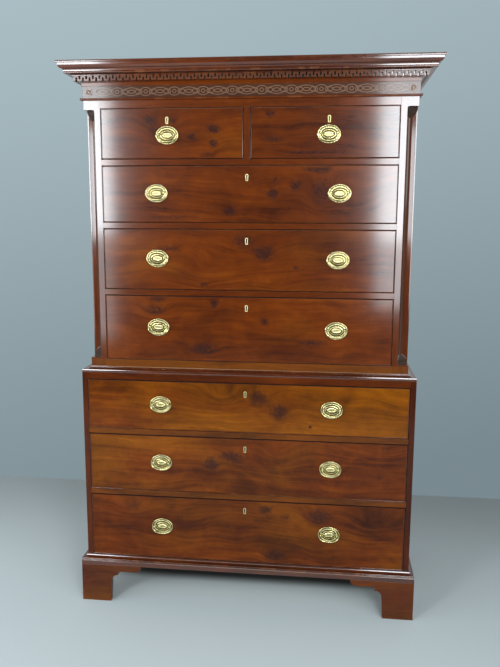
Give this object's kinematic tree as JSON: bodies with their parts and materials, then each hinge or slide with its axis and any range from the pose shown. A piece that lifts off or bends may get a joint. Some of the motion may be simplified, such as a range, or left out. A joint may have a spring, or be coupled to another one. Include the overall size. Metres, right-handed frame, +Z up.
{
  "type": "chest on chest",
  "caption": "Two-stage mahogany chest on chest with key-pattern cornice, hollowed corners, sliding cock-beaded drawers, brass bail handles and bracket feet.",
  "frame": {"origin": "on the floor, at the middle of the overall width and depth, cornice included", "axes": "+Z up, +X towards the viewer's right as the front is faced, -Y out of the drawer fronts"},
  "size_m": [1.21, 0.6, 1.85],
  "materials": {
    "mahogany": "french polished",
    "mahogany_front": "french polished, figured",
    "mahogany_trim": "french polished",
    "oak_lining": "bare, aged",
    "pine_carcase": "bare, aged",
    "old_brass": "lacquered, slightly toned"
  },
  "bodies": {
    "case": {"upper_side_left": "mahogany", "upper_side_right": "mahogany", "upper_corner_left": "mahogany", "upper_corner_right": "mahogany", "upper_case_boards": "pine_carcase", "upper_drawer_rails": "mahogany", "upper_runners": "pine_carcase", "upper_back_boards": "pine_carcase", "crown_moulding": "mahogany_trim", "key_course": "mahogany_trim", "fret_frieze": "mahogany_trim", "waist_moulding": "mahogany_trim", "lower_side_left": "mahogany", "lower_side_right": "mahogany", "lower_case_boards": "pine_carcase", "lower_drawer_rails": "mahogany", "lower_runners": "pine_carcase", "lower_back_boards": "pine_carcase", "base_moulding": "mahogany_trim", "front_foot_left": "mahogany", "front_foot_right": "mahogany", "back_feet": "mahogany"},
    "short_left_drawer": {"short_left_front": "mahogany_front", "short_left_box": "oak_lining", "short_left_brass": "old_brass"},
    "short_left_bail": {"short_left_bail": "old_brass"},
    "short_right_drawer": {"short_right_front": "mahogany_front", "short_right_box": "oak_lining", "short_right_brass": "old_brass"},
    "short_right_bail": {"short_right_bail": "old_brass"},
    "upper_long_1_drawer": {"upper_long_1_front": "mahogany_front", "upper_long_1_box": "oak_lining", "upper_long_1_brass": "old_brass"},
    "upper_long_1_bail_left": {"upper_long_1_bail_left": "old_brass"},
    "upper_long_1_bail_right": {"upper_long_1_bail_right": "old_brass"},
    "upper_long_2_drawer": {"upper_long_2_front": "mahogany_front", "upper_long_2_box": "oak_lining", "upper_long_2_brass": "old_brass"},
    "upper_long_2_bail_left": {"upper_long_2_bail_left": "old_brass"},
    "upper_long_2_bail_right": {"upper_long_2_bail_right": "old_brass"},
    "upper_long_3_drawer": {"upper_long_3_front": "mahogany_front", "upper_long_3_box": "oak_lining", "upper_long_3_brass": "old_brass"},
    "upper_long_3_bail_left": {"upper_long_3_bail_left": "old_brass"},
    "upper_long_3_bail_right": {"upper_long_3_bail_right": "old_brass"},
    "lower_long_1_drawer": {"lower_long_1_front": "mahogany_front", "lower_long_1_box": "oak_lining", "lower_long_1_brass": "old_brass"},
    "lower_long_1_bail_left": {"lower_long_1_bail_left": "old_brass"},
    "lower_long_1_bail_right": {"lower_long_1_bail_right": "old_brass"},
    "lower_long_2_drawer": {"lower_long_2_front": "mahogany_front", "lower_long_2_box": "oak_lining", "lower_long_2_brass": "old_brass"},
    "lower_long_2_bail_left": {"lower_long_2_bail_left": "old_brass"},
    "lower_long_2_bail_right": {"lower_long_2_bail_right": "old_brass"},
    "lower_long_3_drawer": {"lower_long_3_front": "mahogany_front", "lower_long_3_box": "oak_lining", "lower_long_3_brass": "old_brass"},
    "lower_long_3_bail_left": {"lower_long_3_bail_left": "old_brass"},
    "lower_long_3_bail_right": {"lower_long_3_bail_right": "old_brass"}
  },
  "joints": [
    {"name": "short_left_slide", "type": "slide", "parent": "case", "child": "short_left_drawer", "axis": [0, -1, 0], "range_m": [0, 0.37]},
    {"name": "short_left_bail_hinge", "type": "hinge", "parent": "short_left_drawer", "child": "short_left_bail", "pos_m": [-0.262, -0.246, 1.62675], "axis": [-1, 0, 0], "range_deg": [-15, 190]},
    {"name": "short_right_slide", "type": "slide", "parent": "case", "child": "short_right_drawer", "axis": [0, -1, 0], "range_m": [0, 0.37]},
    {"name": "short_right_bail_hinge", "type": "hinge", "parent": "short_right_drawer", "child": "short_right_bail", "pos_m": [0.262, -0.246, 1.62675], "axis": [-1, 0, 0], "range_deg": [-15, 190]},
    {"name": "upper_long_1_slide", "type": "slide", "parent": "case", "child": "upper_long_1_drawer", "axis": [0, -1, 0], "range_m": [0, 0.37]},
    {"name": "upper_long_1_bail_left_hinge", "type": "hinge", "parent": "upper_long_1_drawer", "child": "upper_long_1_bail_left", "pos_m": [-0.3, -0.246, 1.4415], "axis": [-1, 0, 0], "range_deg": [-15, 190]},
    {"name": "upper_long_1_bail_right_hinge", "type": "hinge", "parent": "upper_long_1_drawer", "child": "upper_long_1_bail_right", "pos_m": [0.3, -0.246, 1.4415], "axis": [-1, 0, 0], "range_deg": [-15, 190]},
    {"name": "upper_long_2_slide", "type": "slide", "parent": "case", "child": "upper_long_2_drawer", "axis": [0, -1, 0], "range_m": [0, 0.37]},
    {"name": "upper_long_2_bail_left_hinge", "type": "hinge", "parent": "upper_long_2_drawer", "child": "upper_long_2_bail_left", "pos_m": [-0.3, -0.246, 1.2275], "axis": [-1, 0, 0], "range_deg": [-15, 190]},
    {"name": "upper_long_2_bail_right_hinge", "type": "hinge", "parent": "upper_long_2_drawer", "child": "upper_long_2_bail_right", "pos_m": [0.3, -0.246, 1.2275], "axis": [-1, 0, 0], "range_deg": [-15, 190]},
    {"name": "upper_long_3_slide", "type": "slide", "parent": "case", "child": "upper_long_3_drawer", "axis": [0, -1, 0], "range_m": [0, 0.37]},
    {"name": "upper_long_3_bail_left_hinge", "type": "hinge", "parent": "upper_long_3_drawer", "child": "upper_long_3_bail_left", "pos_m": [-0.3, -0.246, 0.995], "axis": [-1, 0, 0], "range_deg": [-15, 190]},
    {"name": "upper_long_3_bail_right_hinge", "type": "hinge", "parent": "upper_long_3_drawer", "child": "upper_long_3_bail_right", "pos_m": [0.3, -0.246, 0.995], "axis": [-1, 0, 0], "range_deg": [-15, 190]},
    {"name": "lower_long_1_slide", "type": "slide", "parent": "case", "child": "lower_long_1_drawer", "axis": [0, -1, 0], "range_m": [0, 0.39]},
    {"name": "lower_long_1_bail_left_hinge", "type": "hinge", "parent": "lower_long_1_drawer", "child": "lower_long_1_bail_left", "pos_m": [-0.291, -0.272, 0.7305], "axis": [-1, 0, 0], "range_deg": [-15, 190]},
    {"name": "lower_long_1_bail_right_hinge", "type": "hinge", "parent": "lower_long_1_drawer", "child": "lower_long_1_bail_right", "pos_m": [0.291, -0.272, 0.7305], "axis": [-1, 0, 0], "range_deg": [-15, 190]},
    {"name": "lower_long_2_slide", "type": "slide", "parent": "case", "child": "lower_long_2_drawer", "axis": [0, -1, 0], "range_m": [0, 0.39]},
    {"name": "lower_long_2_bail_left_hinge", "type": "hinge", "parent": "lower_long_2_drawer", "child": "lower_long_2_bail_left", "pos_m": [-0.291, -0.272, 0.52325], "axis": [-1, 0, 0], "range_deg": [-15, 190]},
    {"name": "lower_long_2_bail_right_hinge", "type": "hinge", "parent": "lower_long_2_drawer", "child": "lower_long_2_bail_right", "pos_m": [0.291, -0.272, 0.52325], "axis": [-1, 0, 0], "range_deg": [-15, 190]},
    {"name": "lower_long_3_slide", "type": "slide", "parent": "case", "child": "lower_long_3_drawer", "axis": [0, -1, 0], "range_m": [0, 0.39]},
    {"name": "lower_long_3_bail_left_hinge", "type": "hinge", "parent": "lower_long_3_drawer", "child": "lower_long_3_bail_left", "pos_m": [-0.291, -0.272, 0.28925], "axis": [-1, 0, 0], "range_deg": [-15, 190]},
    {"name": "lower_long_3_bail_right_hinge", "type": "hinge", "parent": "lower_long_3_drawer", "child": "lower_long_3_bail_right", "pos_m": [0.291, -0.272, 0.28925], "axis": [-1, 0, 0], "range_deg": [-15, 190]}
  ]
}
